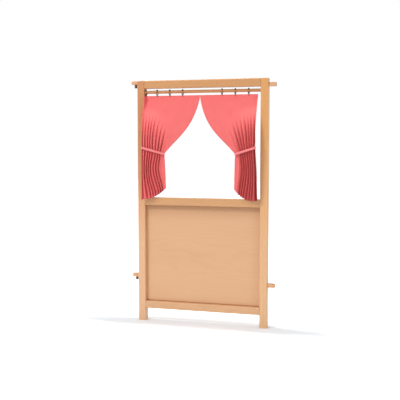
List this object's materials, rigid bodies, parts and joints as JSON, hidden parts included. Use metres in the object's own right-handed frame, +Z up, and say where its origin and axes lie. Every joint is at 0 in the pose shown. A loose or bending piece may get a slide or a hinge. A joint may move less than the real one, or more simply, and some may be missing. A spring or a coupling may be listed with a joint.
{
  "type": "puppet theater stand",
  "caption": "Free-standing wooden puppet theater front with a panel below and a stage opening framed by tied-back red curtains on a rod, with side tabs and eyes that link to a neighbour.",
  "frame": {"origin": "on the floor under the middle of the box round the whole object, a little in front of the middle of the frame's depth because the tied curtains stand forward", "axes": "+Z up, +X to the right seen from the audience, +Y away from the audience, so the front faces -Y"},
  "size_m": [0.7606, 0.0982, 1.25],
  "materials": {
    "frame_wood": "satin clear lacquer on pale beech",
    "panel_wood": "satin clear lacquer on fine plywood face",
    "rod_wood": "satin clear lacquer on a turned beech rod",
    "dowel_wood": "raw beech",
    "ring_metal": "dark bronze lacquer, satin",
    "pin_metal": "dark bronze lacquer, satin",
    "curtain_cloth": "matt plain-woven cotton in soft red",
    "tieback_cloth": "matt folded strip of the curtain's cotton"
  },
  "bodies": {
    "stand": {"left_stile": "frame_wood", "right_stile": "frame_wood", "top_rail": "frame_wood", "mid_rail": "frame_wood", "bottom_rail": "frame_wood", "left_upper_tab": "frame_wood", "left_lower_tab": "frame_wood", "right_upper_eye": "frame_wood", "right_lower_eye": "frame_wood", "infill_panel": "panel_wood", "curtain_rod": "rod_wood", "left_ring_1": "ring_metal", "left_curtain": "curtain_cloth", "right_curtain": "curtain_cloth", "left_tieback": "tieback_cloth", "right_tieback": "tieback_cloth", "left_upper_pin": "pin_metal", "left_lower_pin": "pin_metal", "top_rail_left_lower_dowel": "dowel_wood", "top_rail_left_upper_dowel": "dowel_wood", "top_rail_right_lower_dowel": "dowel_wood", "top_rail_right_upper_dowel": "dowel_wood", "mid_rail_left_lower_dowel": "dowel_wood", "mid_rail_left_upper_dowel": "dowel_wood", "mid_rail_right_lower_dowel": "dowel_wood", "mid_rail_right_upper_dowel": "dowel_wood", "bottom_rail_left_lower_dowel": "dowel_wood", "bottom_rail_left_upper_dowel": "dowel_wood", "bottom_rail_right_lower_dowel": "dowel_wood", "bottom_rail_right_upper_dowel": "dowel_wood"},
    "left_ring_4_slider": {"left_ring_4": "ring_metal"},
    "left_ring_3_slider": {"left_ring_3": "ring_metal"},
    "left_ring_2_slider": {"left_ring_2": "ring_metal"},
    "right_ring_3_slider": {"right_ring_3": "ring_metal"},
    "right_ring_2_slider": {"right_ring_2": "ring_metal"},
    "right_ring_1_slider": {"right_ring_1": "ring_metal"}
  },
  "joints": [
    {"name": "left_curtain_draw", "type": "slide", "parent": "stand", "child": "left_ring_4_slider", "axis": [-1, 0, 0], "range_m": [0, 0.1187], "deforming": ["left_curtain", "left_tieback"]},
    {"name": "left_ring_3_follow", "type": "slide", "parent": "stand", "child": "left_ring_3_slider", "axis": [-1, 0, 0], "range_m": [0, 0.0776]},
    {"name": "left_ring_2_follow", "type": "slide", "parent": "stand", "child": "left_ring_2_slider", "axis": [-1, 0, 0], "range_m": [0, 0.0365]},
    {"name": "right_curtain_draw", "type": "slide", "parent": "stand", "child": "right_ring_3_slider", "axis": [1, 0, 0], "range_m": [0, 0.1187], "deforming": ["right_curtain", "right_tieback"]},
    {"name": "right_ring_2_follow", "type": "slide", "parent": "stand", "child": "right_ring_2_slider", "axis": [1, 0, 0], "range_m": [0, 0.0776]},
    {"name": "right_ring_1_follow", "type": "slide", "parent": "stand", "child": "right_ring_1_slider", "axis": [1, 0, 0], "range_m": [0, 0.0365]}
  ],
  "couplings": [
    {"joint": "left_ring_3_follow", "follows": "left_curtain_draw", "ratio": 0.6538},
    {"joint": "left_ring_2_follow", "follows": "left_curtain_draw", "ratio": 0.3076},
    {"joint": "right_ring_2_follow", "follows": "right_curtain_draw", "ratio": 0.6538},
    {"joint": "right_ring_1_follow", "follows": "right_curtain_draw", "ratio": 0.3076}
  ]
}
